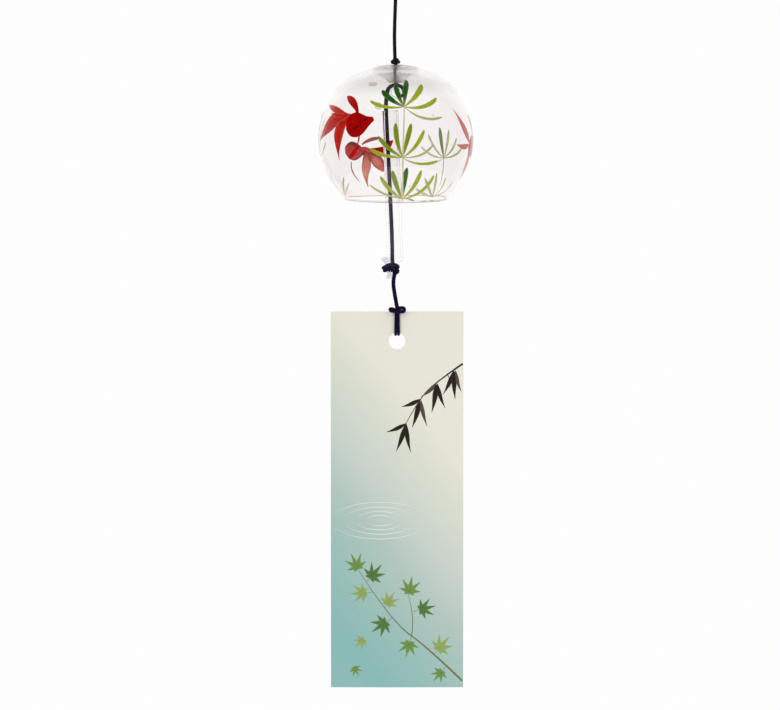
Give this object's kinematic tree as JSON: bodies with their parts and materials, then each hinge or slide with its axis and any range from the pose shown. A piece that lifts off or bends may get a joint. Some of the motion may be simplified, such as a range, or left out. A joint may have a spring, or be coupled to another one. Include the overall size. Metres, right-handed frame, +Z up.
{
  "type": "wind bell",
  "caption": "Round glass wind bell on a cord loop, with a glass tube clapper inside and a hanging paper strip that catches the wind.",
  "frame": {"origin": "top inside of the hanging loop, where a hook carries the bell", "axes": "+Z up along the hanging cord, +Y away from the viewer who faces the strip, +X to that viewer's right"},
  "size_m": [0.08, 0.08, 0.3779],
  "materials": {
    "glass": "clear blown glass",
    "tube_glass": "clear drawn glass",
    "clear_rod": "clear drawn glass",
    "clear_vinyl": "clear soft pipe",
    "cord": "braided, dark navy",
    "card": "smooth printed card"
  },
  "bodies": {
    "hook_loop": {"hang_loop": "cord", "loop_knot": "cord"},
    "hanger": {"hanging_cord": "cord"},
    "crown": {"crown_knot": "cord"},
    "bell": {"glass_bell": "glass"},
    "rod": {"crown_rod": "clear_rod", "hole_cord": "cord"},
    "clapper": {"toggle_hitch": "cord", "clapper_cord": "cord", "stopper_pipe": "clear_vinyl", "stopper_knot": "cord", "strip_cord": "cord"},
    "tube": {"clapper_tube": "tube_glass"},
    "strip_top": {"strip_knot": "cord"},
    "strip": {"strip_loop": "cord", "paper_strip": "card"}
  },
  "joints": [
    {"name": "cord_swing", "type": "hinge", "parent": "hook_loop", "child": "hanger", "pos_m": [0, 0, -0.0285], "axis": [0, 1, 0], "range_deg": [-30, 30]},
    {"name": "cord_twist", "type": "hinge", "parent": "hanger", "child": "crown", "pos_m": [0, 0, -0.0604], "axis": [0, 0, 1], "continuous": true},
    {"name": "bell_rock", "type": "hinge", "parent": "crown", "child": "bell", "pos_m": [0, 0, -0.0643], "axis": [1, 0, 0], "range_deg": [-8, 8]},
    {"name": "clapper_turn", "type": "hinge", "parent": "bell", "child": "rod", "pos_m": [0, 0, -0.0765], "axis": [0, 0, 1], "continuous": true},
    {"name": "clapper_swing", "type": "hinge", "parent": "rod", "child": "clapper", "pos_m": [0, 0, -0.0765], "axis": [0, 1, 0], "range_deg": [-17, 17]},
    {"name": "tube_spin", "type": "hinge", "parent": "clapper", "child": "tube", "pos_m": [-0.00025, -0.0007, -0.1616], "axis": [-0.0332, 0, 0.9995], "continuous": true},
    {"name": "strip_turn", "type": "hinge", "parent": "clapper", "child": "strip_top", "pos_m": [0.0007, 0, -0.18595], "axis": [0, 0, 1], "continuous": true},
    {"name": "strip_swing", "type": "hinge", "parent": "strip_top", "child": "strip", "pos_m": [0.0007, 0, -0.18595], "axis": [1, 0, 0], "range_deg": [-45, 45]}
  ]
}
